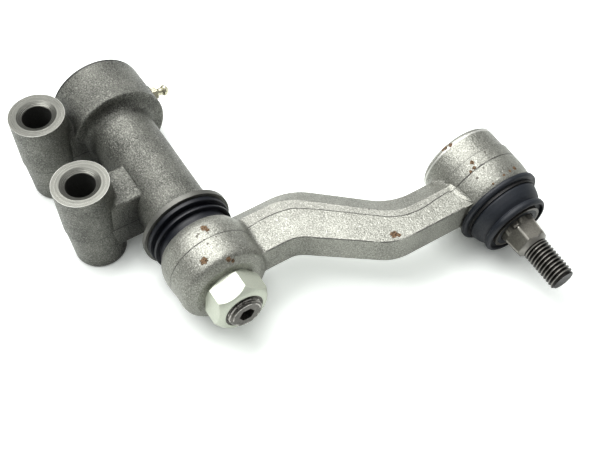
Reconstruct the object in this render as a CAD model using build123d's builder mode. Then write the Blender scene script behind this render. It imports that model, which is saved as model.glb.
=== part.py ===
from build123d import *
from math import atan2, cos, degrees, radians, sin, sqrt
import os

# Steering idler arm, millimetres.
# The origin is midway between the two bolt holes, on the machined boss faces. +Z leaves
# those faces, +X runs along the pivot shaft towards its lock nut, +Y runs to the ball joint.

os.makedirs("parts", exist_ok=True)

# Bolted interface
bolt_spacing = 53.0
bolt_hole_d = 15.5
bolt_mouth_d = 21.2
bolt_mouth_depth = 1.5
boss_top_d = 29.6
boss_waist_d = 29.0
boss_waist_shift = 0.8
boss_foot_d = 27.6
boss_foot_shift = 2.8
boss_height = 55.5
boss_split_drop = 30.5

# Pivot axis, from the origin
pivot_drop = 27.0
pivot_offset = 39.5
head_overhang = 18.6

# Bracket casting
head_rim_d = 52.4
head_d = 53.6
head_length = 28.5
barrel_d = 35.8
flange_back = 102.8
flange_thickness = 2.7
flange_d = 48.4
flange_flare = 5.5
head_web_width = 21.0
flange_web_width = 25.6
web_top = 12.5
web_foot = 19.0
web_draft = 4.0
split_step = 0.4
rim_edge_r = 0.4
head_edge_r = 1.2
head_root_r = 4.0
head_web_r = 5.0
flange_web_r = 2.0
boss_foot_r = 1.2
bush_bore_d = 27.0
chamber_d = 41.0
chamber_depth = 24.0
seal_recess_d = 38.0
seal_recess_depth = 4.0

# Pivot shaft and its bushes
journal_d = 22.0
relief_d = 20.6
relief_slope = 1.0
relief_gap = 2.0
bush_length = 24.0
bush_chamfer = 0.6
shoulder_d = 36.0
shoulder_t = 5.0
thrust_t = 1.6
stub_d = 18.0
stub_length = 8.4
shaft_run = 0.04
shaft_thread_d = 18.0
shaft_past_nut = 2.6
shaft_chamfer = 1.2
key_across = 7.4
key_depth = 5.0
cone_start = 112.0
cone_to_seat = 4.6
cone_small_d = 19.0
cone_clear = 0.03

# Closing parts in the head
cap_rim_d = 51.8
cap_rim_t = 1.4
cap_plug = 4.3
cap_wall = 2.0
cap_dish_d = 27.0
cap_slope = 3.0
pad_t = 2.5
pad_d = 30.0
washer_t = 0.7
washer_gap = 0.05
fit_clear = 0.02

# Grease nipple
nipple_along = 10.8
nipple_angle = -6.0
nipple_seat_r = 27.2
nipple_seat_d = 11.0
nipple_thread_d = 6.0
nipple_hex = 7.0
nipple_hex_h = 3.6
nipple_neck_d = 4.2
nipple_head_d = 6.2
nipple_length = 10.6
nipple_bore_d = 1.8
check_ball_d = 2.2

# Shaft seal
seal_groove_d = 38.8
seal_lip_starts = (0.0, 5.4, 11.0)
seal_lip_widths = (2.6, 1.5, 1.7)
seal_lip_ds = (45.2, 43.8, 42.0)
seal_lip_r = 0.45
seal_gap = 0.3

# Arm forging: pivot eye
eye_start = 118.5
eye_seat = 148.6
eye_face_d = 36.0
eye_profile = ((0, 21.6), (5.8, 23.8), (13.5, 23.8), (19.5, 23.4))
eye_rim = ((-2.6, 22.2), (-1.6, 20.8))
eye_blend = 3.5
eye_zone = (15.0, 25.0)

# Arm forging: S-bend, seen along Z, x from the head's rim and y from the pivot axis
arm_half_height = 8.8
arm_flank = 3.0
arm_back_x = (113.4, 148.6)
arm_back_y = (55.5, 95.8)
arm_back_r = 30.0
arm_lip_x = (120.4, 158.8)
arm_lip_y = (48.2, 92.4)
arm_lip_r = 26.0
arm_front_x = (144.6, 174.4)
arm_front_y = (41.6, 81.6)
arm_front_r = (12.0, 24.0)
arm_root = 8.0
arm_tip = 130.0
arm_foot_fillet = 2.5

# Ball joint, from the head's rim and the pivot axis
ball_x = 157.0
arm_length = 145.5
ball_sink = 2.9
ball_pitch = 6.0
ball_yaw = 2.0
ball_d = 26.0
ball_flat = 10.6
housing_profile = ((-16.9, 22.1), (-10.0, 22.3), (-3.9, 22.4), (3.2, 23.1), (13.0, 22.9), (14.8, 22.6))
housing_blend = 3.5
housing_zone = (118.0, 130.0)
housing_back = 18.4
housing_rear_d = 41.2
housing_rim_d = 34.0
rim_t = 2.35
plug_seat_d = 36.8
plug_t = 2.4
plug_dish = 1.0
plug_dish_d = 22.0
seat_washer_d = 31.0
band_d = 46.3
band_back = 3.9
housing_split = 3.2
housing_front = 16.5
front_d = 44.0
spigot_d = 39.0
spigot_end = 20.6
socket_bore_d = 33.0
socket_front = 8.6
throat_d = 25.6
throat_end = 10.0
mouth_d = 34.4
seat_joint = 0.6
seat_edge = 6.6
seat_edge_r = 11.2
seat_back = 12.4
seat_hole_d = 17.8
swivel_clear = 0.03
neck_d = 15.2
neck_end = 26.5
taper_start = 29.5
taper_big_d = 19.6
taper_end = 46.2
taper_rate = 1 / 8
hex_start = 36.0
hex_across = 18.2
hex_turn = 58.0
hex_ease = 1.0
hex_core_d = 14.4
relief_end = 48.2
relief_small_d = 12.8
stud_thread_d = 14.0
stud_chamfer = 1.2
stud_end = 70.5

# Dust boot
boot_gap = 0.1
boot_room_d = 50.0
boot_lip_d = 47.4
boot_lip_end = 19.4
boot_groove_d = 40.4
boot_body_d = 42.0
boot_body = 22.5
boot_shoulder = 3.5
boot_shoulder_drop = 0.7
boot_edge = 0.6
boot_groove_wall = 1.4
clip_gap = 0.3
boot_neck_d = 34.4
boot_neck = 29.8
boot_collar_d = 37.6
boot_end = 33.4
boot_wall = 1.8
boot_mouth = 31.2
boot_mouth_d = 33.6
boot_sleeve_d = 25.0
boot_grip_d = 19.7
clip_d = 42.2
clip_t = 1.5
collar_ring_t = 1.5

# Lock nut
nut_across = 27.0
nut_hex_h = 9.9
nut_chamfer = 1.2
nut_face = 0.8
nut_turn = 18.0
nut_collar_h = 4.9
nut_collar_d = 26.0
nut_crown_d = 21.2
nut_crown_r = 3.0
insert_t = 2.6
insert_inset = 0.4
insert_d = 20.8

head_x = -bolt_spacing / 2 - head_overhang
flange_front = flange_back + flange_thickness
web_z = -pivot_drop + web_top
web_foot_z = -pivot_drop - web_foot
recess_bottom = flange_front - seal_recess_depth
cone_end = eye_seat - cone_to_seat
nut_hex_end = eye_seat + nut_hex_h
nut_collar_end = nut_hex_end + nut_collar_h
insert_end = nut_collar_end - insert_inset
insert_start = insert_end - insert_t
shaft_end = nut_collar_end + shaft_past_nut


def along(distance):
    """Plane across the pivot axis, its X to +Y and its normal to +X."""
    return Plane(origin=(head_x + distance, pivot_offset, -pivot_drop), x_dir=(0, 1, 0), z_dir=(1, 0, 0))


nipple_out = Vector(0, cos(radians(nipple_angle)), sin(radians(nipple_angle)))
nipple_seat = Plane(
    origin=Vector(head_x + nipple_along, pivot_offset, -pivot_drop) + nipple_out * nipple_seat_r,
    x_dir=(1, 0, 0),
    z_dir=nipple_out,
)
# Plane through the pivot axis: its X runs along the axis from the head's rim, its Y upwards
pivot_section = Plane(origin=(head_x, pivot_offset, -pivot_drop), x_dir=(1, 0, 0), z_dir=(0, -1, 0))
pivot_axis = Axis((head_x, pivot_offset, -pivot_drop), (1, 0, 0))


def circles(shape, diameter):
    """Circular edges of one diameter."""
    return shape.edges().filter_by(GeomType.CIRCLE).filter_by(lambda e: abs(2 * e.radius - diameter) < 0.02)


def flat_edges(shape, z):
    """Edges that lie flat at one height."""
    low, high = z - 0.01, z + 0.01
    return shape.edges().filter_by(lambda e: low < e.bounding_box().min.Z and e.bounding_box().max.Z < high)


def ring(start, end, inner_d, outer_d):
    """Profile of a plain ring on the pivot axis, drawn in the pivot section."""
    with Locations(((start + end) / 2, (inner_d + outer_d) / 4)):
        Rectangle(end - start, (outer_d - inner_d) / 2)


# Bracket: one casting. Its webs and bosses are drafted both ways from the split plane
with BuildPart() as bracket:
    for side, width in ((-1, head_web_width), (1, flange_web_width)):
        for up, reach in ((1, web_z + boss_split_drop), (-1, -boss_split_drop - web_foot_z)):
            with BuildSketch(Plane.XY.offset(-boss_split_drop)):
                with Locations((side * bolt_spacing / 2, pivot_offset / 2)):
                    Rectangle(width, pivot_offset)
            extrude(amount=up * reach, taper=web_draft)
    for side in (-1, 1):
        for levels in (
            ((0, 0, boss_top_d), (-boss_split_drop, boss_waist_shift, boss_waist_d)),
            ((-boss_split_drop, boss_waist_shift, boss_waist_d - 2 * split_step),
             (-boss_height, boss_foot_shift, boss_foot_d)),
        ):
            for z, shift, diameter in levels:
                with BuildSketch(Plane(origin=(side * bolt_spacing / 2, shift, z))):
                    Circle(diameter / 2)
            loft(ruled=True)
    # Cast radii on the webs' tops and feet, and round the bosses' feet
    for z in (web_z, web_foot_z):
        outer = flat_edges(bracket, z).filter_by(lambda e: e.bounding_box().min.Y < pivot_offset / 2)
        fillet(outer.filter_by(lambda e: e.center().X < 0), head_web_r)
        outer = flat_edges(bracket, z).filter_by(lambda e: e.bounding_box().min.Y < pivot_offset / 2)
        fillet(outer.filter_by(lambda e: e.center().X > 0), flange_web_r)
    fillet(flat_edges(bracket, -boss_height), boss_foot_r)
    # Head, barrel and flange
    with BuildSketch(pivot_section) as body:
        with BuildLine():
            Polyline(
                (0, 0),
                (0, head_rim_d / 2),
                (head_length, head_d / 2),
                (head_length, barrel_d / 2),
                (flange_back, barrel_d / 2),
                (flange_back, flange_d / 2),
                (flange_front, flange_d / 2),
                (flange_front, 0),
                close=True,
            )
        make_face()
        for corner, radius in (
            ((0, head_rim_d / 2), rim_edge_r),
            ((head_length, head_d / 2), head_edge_r),
            ((head_length, barrel_d / 2), head_root_r),
            ((flange_back, barrel_d / 2), flange_flare),
        ):
            fillet(body.vertices().sort_by_distance(Vector(*corner))[0], radius)
    revolve(axis=pivot_axis)
    # Cast pad of the grease nipple
    with BuildSketch(nipple_seat):
        Circle(nipple_seat_d / 2)
    extrude(amount=chamber_d / 2 - nipple_seat_r)
    # Bolt holes, their mouths and the machined bores
    mouth_angle = 2 * degrees(atan2((bolt_mouth_d - bolt_hole_d) / 2, bolt_mouth_depth))
    with Locations((-bolt_spacing / 2, 0, 0), (bolt_spacing / 2, 0, 0)):
        CounterSinkHole(bolt_hole_d / 2, bolt_mouth_d / 2, depth=boss_height, counter_sink_angle=mouth_angle)
    with BuildSketch(pivot_section):
        ring(0, chamber_depth, 0, chamber_d)
        ring(0, flange_front, 0, bush_bore_d)
        ring(recess_bottom, flange_front, 0, seal_recess_d)
    revolve(axis=pivot_axis, mode=Mode.SUBTRACT)
    # Thread hole of the grease nipple
    with BuildSketch(nipple_seat):
        Circle(nipple_thread_d / 2)
    extrude(amount=-(nipple_seat_r - chamber_d / 2 + 1), mode=Mode.SUBTRACT)
bracket.part.label = "pivot_bracket"
export_step(bracket.part, "parts/pivot_bracket.step")

# End cap: dished disc pressed into the chamber, with a rim that lies on the head's face
with BuildPart() as cap:
    with BuildSketch(pivot_section):
        with BuildLine():
            Polyline(
                (cap_plug - cap_wall, 0),
                (cap_plug - cap_wall, cap_dish_d / 2),
                (-cap_rim_t, cap_dish_d / 2 + cap_slope),
                (-cap_rim_t, cap_rim_d / 2),
                (0, cap_rim_d / 2),
                (0, chamber_d / 2 - fit_clear),
                (cap_plug, chamber_d / 2 - fit_clear),
                (cap_plug, 0),
                close=True,
            )
        make_face()
    revolve(axis=pivot_axis)
cap.part.label = "end_cap"
export_step(cap.part, "parts/end_cap.step")

# Shaft positions, worked out from the chamber's bottom
shoulder_start = chamber_depth - thrust_t - shoulder_t
pad_back = shoulder_start - stub_length
pad_front = pad_back - pad_t

# Dished washer that takes up end play
with BuildPart() as thrust_washer_spring:
    with BuildSketch(pivot_section):
        with BuildLine():
            Polyline(
                (cap_plug + washer_gap, pad_d / 2),
                (cap_plug + washer_gap + washer_t, pad_d / 2),
                (pad_front - washer_gap, stub_d / 2),
                (pad_front - washer_gap - washer_t, stub_d / 2),
                close=True,
            )
        make_face()
    revolve(axis=pivot_axis)
thrust_washer_spring.part.label = "thrust_spring"
export_step(thrust_washer_spring.part, "parts/thrust_spring.step")

# Pad between the dished washer and the shaft's stub
with BuildPart() as pad:
    with BuildSketch(pivot_section):
        ring(pad_front, pad_back - shaft_run, 0, pad_d)
    revolve(axis=pivot_axis)
    chamfer(pad.edges().filter_by(GeomType.CIRCLE), 0.5)
pad.part.label = "pressure_pad"
export_step(pad.part, "parts/pressure_pad.step")

# Thrust washer on the chamber's bottom
with BuildPart() as thrust:
    with BuildSketch(pivot_section):
        ring(shoulder_start + shoulder_t + shaft_run, chamber_depth, bush_bore_d, chamber_d - 2 * fit_clear)
    revolve(axis=pivot_axis)
thrust.part.label = "thrust_washer"
export_step(thrust.part, "parts/thrust_washer.step")

# Bush at the head
with BuildPart() as rear_bush:
    with BuildSketch(pivot_section):
        ring(chamber_depth, chamber_depth + bush_length, journal_d, bush_bore_d)
    revolve(axis=pivot_axis)
    chamfer(circles(rear_bush, journal_d), bush_chamfer)
rear_bush.part.label = "head_bush"
export_step(rear_bush.part, "parts/head_bush.step")

# Bush at the flange
with BuildPart() as front_bush:
    with BuildSketch(pivot_section):
        ring(recess_bottom - bush_length, recess_bottom, journal_d, bush_bore_d)
    revolve(axis=pivot_axis)
    chamfer(circles(front_bush, journal_d), bush_chamfer)
front_bush.part.label = "flange_bush"
export_step(front_bush.part, "parts/flange_bush.step")

# Pivot shaft: shoulder, journals, cone for the arm, threaded end with a hexagon recess
journal_r = journal_d / 2 - shaft_run
relief_start = chamber_depth + bush_length + relief_gap
relief_stop = recess_bottom - bush_length - relief_gap
with BuildPart() as shaft:
    with BuildSketch(pivot_section):
        with BuildLine():
            Polyline(
                (pad_back, 0),
                (pad_back, stub_d / 2),
                (shoulder_start, stub_d / 2),
                (shoulder_start, shoulder_d / 2),
                (shoulder_start + shoulder_t, shoulder_d / 2),
                (shoulder_start + shoulder_t, journal_r),
                (relief_start, journal_r),
                (relief_start + relief_slope, relief_d / 2),
                (relief_stop - relief_slope, relief_d / 2),
                (relief_stop, journal_r),
                (cone_start, journal_r),
                (cone_end, cone_small_d / 2),
                (cone_end, shaft_thread_d / 2),
                (shaft_end, shaft_thread_d / 2),
                (shaft_end, 0),
                close=True,
            )
        make_face()
    revolve(axis=pivot_axis)
    chamfer(circles(shaft, shaft_thread_d).sort_by(Axis.X)[-1], shaft_chamfer)
    with BuildSketch(along(shaft_end)):
        RegularPolygon(key_across / 2, 6, major_radius=False)
    extrude(amount=-key_depth, mode=Mode.SUBTRACT)
shaft.part.label = "pivot_shaft"
export_step(shaft.part, "parts/pivot_shaft.step")

# Rubber sleeve with three lips between the flange and the arm's eye
seal_start = flange_front + seal_gap
with BuildPart() as seal:
    with BuildSketch(pivot_section):
        ring(recess_bottom + seal_gap, eye_start, journal_d, seal_recess_d - 2 * seal_gap)
        ring(seal_start, eye_start, journal_d, seal_groove_d)
        for start, width, diameter in zip(seal_lip_starts, seal_lip_widths, seal_lip_ds):
            ring(seal_start + start, seal_start + start + width, journal_d, diameter)
    revolve(axis=pivot_axis)
    for diameter in seal_lip_ds:
        fillet(circles(seal, diameter), seal_lip_r)
seal.part.label = "shaft_seal"
export_step(seal.part, "parts/shaft_seal.step")

# Grease nipple: thread, hexagon, neck and head on one axis
nipple_section = Plane(
    origin=nipple_seat.origin,
    x_dir=nipple_out,
    z_dir=(0, sin(radians(nipple_angle)), -cos(radians(nipple_angle))),
)
nipple_axis = Axis(nipple_seat.origin, nipple_out)
thread_depth = nipple_seat_r - chamber_d / 2 - 0.5
head_start = nipple_length - nipple_head_d * 0.62
with BuildPart() as nipple:
    with BuildSketch(nipple_section):
        with BuildLine():
            Polyline(
                (-thread_depth, 0),
                (-thread_depth, nipple_thread_d / 2),
                (0, nipple_thread_d / 2),
                (0, nipple_neck_d / 2 + 0.6),
                (nipple_hex_h, nipple_neck_d / 2 + 0.6),
                (nipple_hex_h + 1.6, nipple_neck_d / 2),
                (head_start, nipple_neck_d / 2),
                (head_start + 1.2, nipple_head_d / 2),
                (nipple_length - 1.6, nipple_head_d / 2),
                (nipple_length, nipple_head_d / 2 - 1.2),
                (nipple_length, 0),
                close=True,
            )
        make_face()
    revolve(axis=nipple_axis)
    with BuildSketch(nipple_seat):
        RegularPolygon(nipple_hex / 2, 6, major_radius=False)
    extrude(amount=nipple_hex_h)
    with BuildSketch(nipple_seat.offset(nipple_length)):
        Circle(nipple_bore_d / 2)
    extrude(amount=-nipple_length - thread_depth, mode=Mode.SUBTRACT)
    with BuildSketch(nipple_seat.offset(nipple_length)):
        Circle(check_ball_d / 2 + fit_clear)
    extrude(amount=-check_ball_d - 0.2, mode=Mode.SUBTRACT)
nipple.part.label = "grease_nipple"
export_step(nipple.part, "parts/grease_nipple.step")

# Check ball in the nipple's mouth
with BuildPart() as check_ball:
    with Locations(nipple_seat.origin + nipple_out * (nipple_length - check_ball_d / 2 - 0.15)):
        Sphere(check_ball_d / 2)
check_ball.part.label = "nipple_ball"
export_step(check_ball.part, "parts/nipple_ball.step")

# Ball joint frame: the section plane's X follows the stud, its Y is upwards
pitch, yaw = radians(ball_pitch), radians(ball_yaw)
ball_centre = Vector(head_x + ball_x, pivot_offset + arm_length, -pivot_drop - ball_sink)
stud_out = Vector(cos(pitch) * cos(yaw), cos(pitch) * sin(yaw), -sin(pitch))
ball_section = Plane(origin=ball_centre, x_dir=stud_out, z_dir=(sin(yaw), -cos(yaw), 0))
ball_across = Plane(origin=ball_centre, x_dir=(-sin(yaw), cos(yaw), 0), z_dir=stud_out)
ball_axis = Axis(ball_centre, stud_out)


def plan(points, radii):
    """One edge of the arm in plan: a filleted run through points given from the head's rim."""
    return FilletPolyline(*[(head_x + x, pivot_offset + y) for x, y in points], radius=radii)


def arm_outline(back_x, back_y, back_r):
    """Closed plan outline of the arm between its two edges, from the eye to the housing."""
    front = ((arm_front_x[0], arm_root), (arm_front_x[0], arm_front_y[0]),
             (arm_front_x[1], arm_front_y[1]), (arm_front_x[1], arm_tip))
    back = ((back_x[0], arm_root), (back_x[0], back_y[0]), (back_x[1], back_y[1]), (back_x[1], arm_tip))
    with BuildLine() as outline:
        plan(front, arm_front_r)
        plan(back, (back_r, back_r))
        Line((head_x + front[0][0], pivot_offset + arm_root), (head_x + back[0][0], pivot_offset + arm_root))
        Line((head_x + front[-1][0], pivot_offset + arm_tip), (head_x + back[-1][0], pivot_offset + arm_tip))
    make_face(outline.edges())


def crosses(edge, zone):
    """True for an edge that lies between two distances in Y from the pivot axis."""
    box = edge.bounding_box()
    return zone[0] < box.min.Y - pivot_offset and box.max.Y - pivot_offset < zone[1]


def cone_r(distance):
    """Radius of the shaft's cone at a distance from the head's rim."""
    share = (distance - cone_start) / (cone_end - cone_start)
    return journal_r + share * (cone_small_d / 2 - journal_r)


# Arm forging: eye, S-bend with a drafted edge and ball housing
plug_back = -housing_back + rim_t
plug_front = plug_back + plug_t + 2 * fit_clear
with BuildPart() as arm:
    for side in (1, -1):
        with BuildSketch(Plane.XY.offset(-pivot_drop)):
            arm_outline(arm_back_x, arm_back_y, arm_back_r)
        extrude(amount=side * arm_flank)
        with BuildSketch(Plane.XY.offset(-pivot_drop + side * arm_flank)):
            arm_outline(arm_back_x, arm_back_y, arm_back_r)
        with BuildSketch(Plane.XY.offset(-pivot_drop + side * arm_half_height)):
            arm_outline(arm_lip_x, arm_lip_y, arm_lip_r)
        loft(ruled=True)
    foot = flat_edges(arm, -pivot_drop - arm_half_height).sort_by(Axis.X)[-1]
    fillet(foot, arm_foot_fillet)
    # Room for the boot's lip beside the housing
    with BuildSketch(ball_across.offset(housing_front)):
        Circle(boot_room_d / 2)
    extrude(amount=boot_room_d / 2, mode=Mode.SUBTRACT)
    # Pivot eye, blended into the arm
    with BuildSketch(pivot_section):
        with BuildLine():
            eye_back = [(eye_start + x, r) for x, r in eye_profile]
            eye_curve = Spline(*eye_back, *[(eye_seat + x, r) for x, r in eye_rim])
            Polyline(
                eye_curve @ 1,
                (eye_seat, eye_face_d / 2),
                (eye_seat, 0),
                (eye_start, 0),
                eye_curve @ 0,
            )
        make_face()
    revolve(axis=pivot_axis)
    fillet(arm.edges().filter_by(lambda e: crosses(e, eye_zone)), eye_blend)
    # Ball housing, blended into the arm
    with BuildSketch(ball_section):
        with BuildLine():
            housing_curve = Spline(*housing_profile)
            Polyline(
                housing_curve @ 1,
                (housing_front, front_d / 2),
                (housing_front, spigot_d / 2),
                (spigot_end, spigot_d / 2),
                (spigot_end, 0),
                (-housing_back, 0),
                (-housing_back, housing_rear_d / 2),
                housing_curve @ 0,
            )
        make_face()
    revolve(axis=ball_axis)
    joints = arm.edges().filter_by(GeomType.BSPLINE).filter_by(lambda e: crosses(e, housing_zone))
    upper = joints.filter_by(lambda e: e.bounding_box().max.Z > -pivot_drop - arm_flank - 0.1)
    fillet(upper.filter_by(lambda e: e.length > arm_flank), housing_blend)
    # Band left by the closing dies
    with BuildSketch(ball_section):
        with Locations(((housing_split - band_back) / 2, band_d / 4)):
            Rectangle(housing_split + band_back, band_d / 2)
    revolve(axis=ball_axis)
    # Cavity of the ball joint, open to the stud, closed by the plug under the rolled rim
    with BuildSketch(ball_section):
        with BuildLine():
            Polyline(
                (-housing_back, 0),
                (-housing_back, housing_rim_d / 2),
                (plug_back, housing_rim_d / 2),
                (plug_back, plug_seat_d / 2),
                (plug_front, plug_seat_d / 2),
                (plug_front, socket_bore_d / 2),
                (socket_front, socket_bore_d / 2),
                (socket_front, throat_d / 2),
                (throat_end, throat_d / 2),
                (housing_front, socket_bore_d / 2),
                (spigot_end, mouth_d / 2),
                (spigot_end, 0),
                close=True,
            )
        make_face()
    revolve(axis=ball_axis, mode=Mode.SUBTRACT)
    # Room for the seal and the conical bore for the shaft
    with BuildSketch(pivot_section):
        ring(arm_back_x[0] - seal_gap, eye_start, 0, seal_lip_ds[-1] + 2 * seal_gap)
        with BuildLine():
            Polyline(
                (eye_start, 0),
                (eye_start, cone_r(eye_start) + cone_clear),
                (cone_end, cone_r(cone_end) + cone_clear),
                (eye_seat, cone_r(cone_end) + cone_clear),
                (eye_seat, 0),
                close=True,
            )
        make_face()
    revolve(axis=pivot_axis, mode=Mode.SUBTRACT)
arm.part.label = "idler_arm"
export_step(arm.part, "parts/idler_arm.step")

# Plug that closes the socket
with BuildPart() as plug:
    with BuildSketch(ball_section):
        with BuildLine():
            Polyline(
                (plug_back + fit_clear + plug_dish, 0),
                (plug_back + fit_clear + plug_dish, plug_dish_d / 2),
                (plug_back + fit_clear, plug_dish_d / 2 + plug_dish),
                (plug_back + fit_clear, plug_seat_d / 2 - fit_clear),
                (plug_front, plug_seat_d / 2 - fit_clear),
                (plug_front, 0),
                close=True,
            )
        make_face()
    revolve(axis=ball_axis)
plug.part.label = "socket_plug"
export_step(plug.part, "parts/socket_plug.step")

# Dished washer that loads the seats
with BuildPart() as seat_washer:
    with BuildSketch(ball_section):
        with BuildLine():
            Polyline(
                (plug_front + fit_clear, seat_washer_d / 2),
                (plug_front + fit_clear + washer_t, seat_washer_d / 2),
                (-seat_back - swivel_clear, seat_hole_d / 2 + 1),
                (-seat_back - swivel_clear - washer_t, seat_hole_d / 2 + 1),
                close=True,
            )
        make_face()
    revolve(axis=ball_axis)
seat_washer.part.label = "seat_spring"
export_step(seat_washer.part, "parts/seat_spring.step")

# Seat behind the ball
seat_sphere_r = ball_d / 2 + swivel_clear
seat_r = socket_bore_d / 2 - swivel_clear
with BuildPart() as rear_seat:
    with BuildSketch(ball_section):
        with BuildLine():
            Polyline(
                (-seat_joint, seat_r),
                (-seat_back, seat_r),
                (-seat_back, 0),
                (-seat_joint, 0),
                close=True,
            )
        make_face()
    revolve(axis=ball_axis)
    with Locations(ball_centre):
        Sphere(seat_sphere_r, mode=Mode.SUBTRACT)
    with BuildSketch(ball_across):
        Circle(seat_hole_d / 2)
    extrude(amount=-seat_back, mode=Mode.SUBTRACT)
rear_seat.part.label = "pressure_seat"
export_step(rear_seat.part, "parts/pressure_seat.step")

# Seat around the stud's side of the ball
with BuildPart() as front_seat:
    with BuildSketch(ball_section):
        with BuildLine():
            Polyline(
                (-seat_joint + swivel_clear, 0),
                (-seat_joint + swivel_clear, seat_r),
                (socket_front - swivel_clear, seat_r),
                (socket_front - swivel_clear, throat_d / 2),
                (seat_edge, seat_edge_r),
                (seat_edge, 0),
                close=True,
            )
        make_face()
    revolve(axis=ball_axis)
    with Locations(ball_centre):
        Sphere(seat_sphere_r, mode=Mode.SUBTRACT)
front_seat.part.label = "ball_seat"
export_step(front_seat.part, "parts/ball_seat.step")

# Ball stud
hex_start_r = taper_big_d / 2 - (hex_start - taper_start) * taper_rate / 2
hex_end_across = hex_across - (taper_end - hex_start) * taper_rate
hex_corner_r = hex_across / sqrt(3)
with BuildPart() as stud:
    # Tapered hexagon that keeps the stud from turning, its corners eased at both ends
    for start, across in ((hex_start, hex_across), (taper_end, hex_end_across)):
        with BuildSketch(ball_across.offset(start)):
            RegularPolygon(across / 2, 6, major_radius=False, rotation=hex_turn)
    loft(ruled=True)
    with BuildSketch(ball_section):
        with BuildLine():
            Polyline(
                (hex_start, 0),
                (hex_start, hex_start_r),
                (hex_start + hex_ease, hex_corner_r),
                (taper_end - hex_ease, hex_corner_r),
                (taper_end, hex_end_across / 2),
                (taper_end, 0),
                close=True,
            )
        make_face()
    revolve(axis=ball_axis, mode=Mode.INTERSECT)
    with BuildSketch(ball_section):
        with BuildLine():
            Polyline(
                (0, 0),
                (0, neck_d / 2),
                (neck_end, neck_d / 2),
                (taper_start, taper_big_d / 2),
                (hex_start, hex_start_r),
                (hex_start, hex_core_d / 2),
                (taper_end, hex_core_d / 2),
                (relief_end, relief_small_d / 2),
                (relief_end + (stud_thread_d - relief_small_d) / 2, stud_thread_d / 2),
                (stud_end - stud_chamfer, stud_thread_d / 2),
                (stud_end, stud_thread_d / 2 - stud_chamfer),
                (stud_end, 0),
                close=True,
            )
        make_face()
    revolve(axis=ball_axis)
    with Locations(ball_centre):
        Sphere(ball_d / 2)
    with BuildSketch(ball_across.offset(-ball_flat)):
        Circle(ball_d / 2)
    extrude(amount=-ball_d, mode=Mode.SUBTRACT)
stud.part.label = "ball_stud"
export_step(stud.part, "parts/ball_stud.step")

# Dust boot: bead on the spigot, groove for the clip, body, collar on the stud
lip_start = housing_front + boot_gap
groove_end = boot_lip_end + clip_gap + clip_t + clip_gap
with BuildPart() as boot:
    with BuildSketch(ball_section):
        with BuildLine():
            Polyline(
                (lip_start, spigot_d / 2 + fit_clear),
                (lip_start, boot_lip_d / 2 - boot_edge),
                (lip_start + boot_edge, boot_lip_d / 2),
                (boot_lip_end - boot_edge, boot_lip_d / 2),
                (boot_lip_end, boot_lip_d / 2 - boot_edge),
                (boot_lip_end + clip_gap, boot_groove_d / 2),
                (groove_end, boot_groove_d / 2),
                (boot_body, boot_body_d / 2),
                (boot_body + boot_shoulder, boot_body_d / 2 - boot_shoulder_drop),
                (boot_neck - 0.8, boot_neck_d / 2 + 1.0),
                (boot_neck, boot_neck_d / 2),
                (boot_neck + boot_edge, boot_collar_d / 2),
                (boot_end - 1.0, boot_collar_d / 2),
                (boot_end, boot_collar_d / 2 - 1.0),
                (boot_end, boot_mouth_d / 2),
                (boot_mouth, boot_mouth_d / 2 - 0.4),
                (boot_mouth, boot_sleeve_d / 2),
                (boot_end, boot_sleeve_d / 2),
                (boot_end, boot_grip_d / 2),
                (taper_start, boot_grip_d / 2),
                (taper_start, boot_neck_d / 2 - boot_wall),
                (boot_body + boot_shoulder, boot_body_d / 2 - boot_shoulder_drop - boot_wall),
                (groove_end, boot_groove_d / 2 - boot_groove_wall),
                (spigot_end + fit_clear, boot_groove_d / 2 - boot_groove_wall),
                (spigot_end + fit_clear, spigot_d / 2 + fit_clear),
                close=True,
            )
        make_face()
    revolve(axis=ball_axis)
boot.part.label = "dust_boot"
export_step(boot.part, "parts/dust_boot.step")

# Metal ring in the boot's groove
with BuildPart() as clip:
    with BuildSketch(ball_across.offset(boot_lip_end + clip_gap + fit_clear)):
        Circle(clip_d / 2)
        Circle(boot_groove_d / 2 + fit_clear, mode=Mode.SUBTRACT)
    extrude(amount=clip_t)
clip.part.label = "boot_clip"
export_step(clip.part, "parts/boot_clip.step")

# Ring on the boot's sleeve, inside its mouth
with BuildPart() as collar_ring:
    with BuildSketch(ball_across.offset(boot_mouth + fit_clear)):
        Circle(boot_sleeve_d / 2 + fit_clear + collar_ring_t)
        Circle(boot_sleeve_d / 2 + fit_clear, mode=Mode.SUBTRACT)
    extrude(amount=boot_end - boot_mouth)
collar_ring.part.label = "boot_collar_ring"
export_step(collar_ring.part, "parts/boot_collar_ring.step")

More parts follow.
